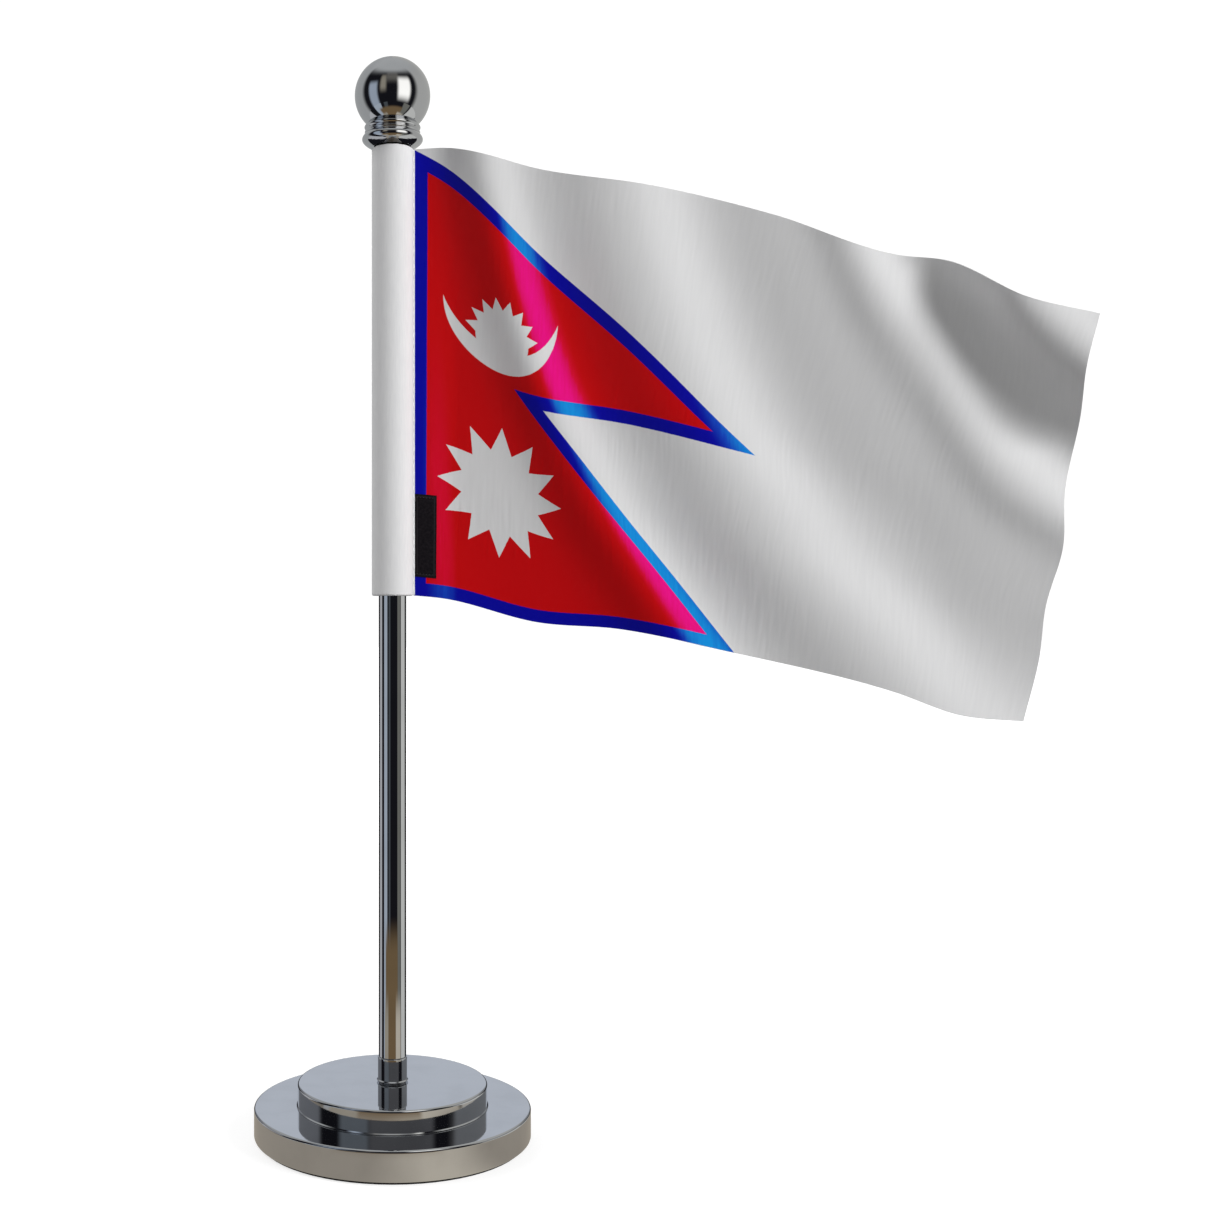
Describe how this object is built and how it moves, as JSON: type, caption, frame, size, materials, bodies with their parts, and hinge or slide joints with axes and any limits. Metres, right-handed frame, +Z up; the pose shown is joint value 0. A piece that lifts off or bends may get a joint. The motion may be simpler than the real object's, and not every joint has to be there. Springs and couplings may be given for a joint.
{
  "type": "desk flag stand",
  "caption": "Desk flag on a tubular metal mast with a ball finial and a round two-tier weighted foot.",
  "frame": {"origin": "on the mast's axis, at the underside of the foot, on the surface that the stand rests on", "axes": "+Z up the mast, +X from the mast towards the flag's free edge, -Y out of the flag's front"},
  "size_m": [0.2627, 0.0866, 0.3381],
  "materials": {
    "chrome": "mirror-polished chrome plating",
    "zinc_steel": "zinc-plated",
    "brass": "turned",
    "felt": "pressed felt",
    "nylon": "black, plain",
    "grip_rubber": "matt",
    "liner_plastic": "plain",
    "white_cloth": "satin polyester",
    "printed_cloth": "satin polyester, dye-printed",
    "black_label": "woven, blank"
  },
  "bodies": {
    "base": {"base_pad": "felt", "base_plate": "chrome", "base_step": "chrome", "base_screw": "zinc_steel", "screw_washer": "zinc_steel", "lock_washer": "zinc_steel"},
    "pole_turn": {"pole_washer": "zinc_steel"},
    "pole": {"pole_ferrule": "chrome", "pole_tube": "chrome", "upper_plug": "brass"},
    "finial_turn": {"finial_washer": "nylon"},
    "finial": {"finial_stud": "zinc_steel", "finial_neck": "chrome", "finial_ball": "chrome"},
    "flag_slider": {"lower_sleeve_bush": "grip_rubber", "upper_sleeve_bush": "grip_rubber"},
    "flag": {"sleeve_liner": "liner_plastic", "flag_sleeve": "white_cloth", "flag_panel": "printed_cloth", "side_label": "black_label"}
  },
  "joints": [
    {"name": "pole_unscrew", "type": "hinge", "parent": "base", "child": "pole_turn", "pos_m": [0, 0, 0.0175], "axis": [0, 0, 1], "range_deg": [0, 2700]},
    {"name": "pole_lift", "type": "slide", "parent": "pole_turn", "child": "pole", "axis": [0, 0, 1], "range_m": [0, 0.006]},
    {"name": "finial_unscrew", "type": "hinge", "parent": "pole", "child": "finial_turn", "pos_m": [0, 0, 0.3096], "axis": [0, 0, 1], "range_deg": [0, 2880]},
    {"name": "finial_lift", "type": "slide", "parent": "finial_turn", "child": "finial", "axis": [0, 0, 1], "range_m": [0, 0.0056]},
    {"name": "flag_slide", "type": "slide", "parent": "pole", "child": "flag_slider", "axis": [0, 0, 1], "range_m": [-0.125, 0]},
    {"name": "flag_swivel", "type": "hinge", "parent": "flag_slider", "child": "flag", "pos_m": [0, 0, 0.24], "axis": [0, 0, 1], "continuous": true}
  ],
  "couplings": [
    {"joint": "pole_unscrew", "follows": "pole_lift", "rad_per_m": 7854},
    {"joint": "finial_unscrew", "follows": "finial_lift", "rad_per_m": 8976}
  ]
}
